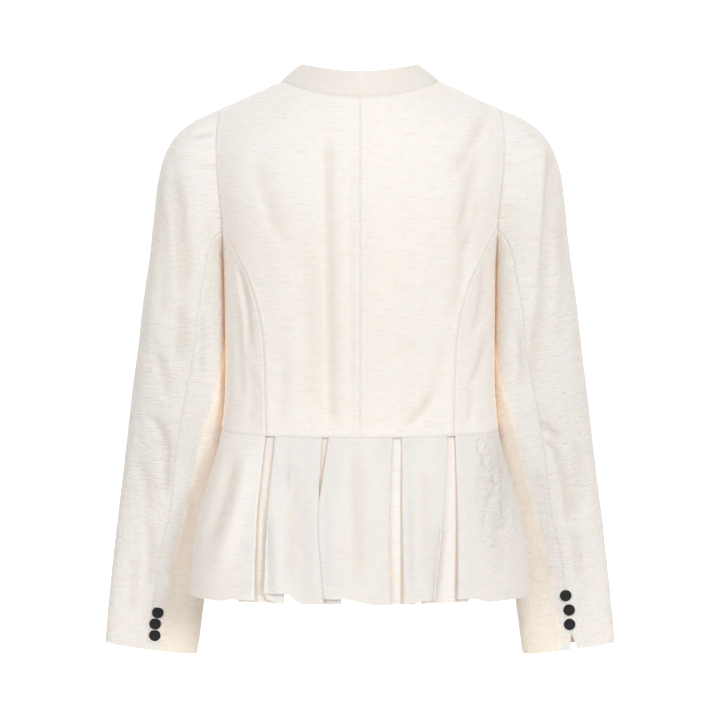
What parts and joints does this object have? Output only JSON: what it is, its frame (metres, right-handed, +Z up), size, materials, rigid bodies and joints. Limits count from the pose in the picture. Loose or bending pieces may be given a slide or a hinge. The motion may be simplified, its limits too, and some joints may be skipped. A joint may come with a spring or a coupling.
{
  "type": "peplum jacket",
  "caption": "Fitted long-sleeved jacket with a stand collar, curved back seams and a short peplum with inverted pleats, in the hollow form that it has when worn.",
  "frame": {"origin": "in the middle of the neck, at the height where the shoulders carry the jacket", "axes": "+X to the wearer's left, -Y to the wearer's front, +Z up"},
  "size_m": [0.6125, 0.2638, 0.7064],
  "materials": {
    "cloth": "matt ivory slub weave",
    "button_cloth": "matt black covered button"
  },
  "bodies": {
    "root": {"centre_back_left": "cloth", "centre_back_right": "cloth", "side_back_left": "cloth", "side_back_right": "cloth", "front_left": "cloth", "front_right": "cloth", "collar": "cloth", "upper_sleeve_left": "cloth", "upper_sleeve_right": "cloth", "under_sleeve_left": "cloth", "under_sleeve_right": "cloth", "peplum_back": "cloth", "peplum_front_left": "cloth", "peplum_front_right": "cloth", "cuff_button_left_1": "button_cloth", "cuff_button_left_2": "button_cloth", "cuff_button_left_3": "button_cloth", "cuff_button_right_1": "button_cloth", "cuff_button_right_2": "button_cloth", "cuff_button_right_3": "button_cloth", "front_button_1": "button_cloth", "front_button_2": "button_cloth", "front_button_3": "button_cloth", "front_button_4": "button_cloth", "front_button_5": "button_cloth"}
  },
  "joints": []
}
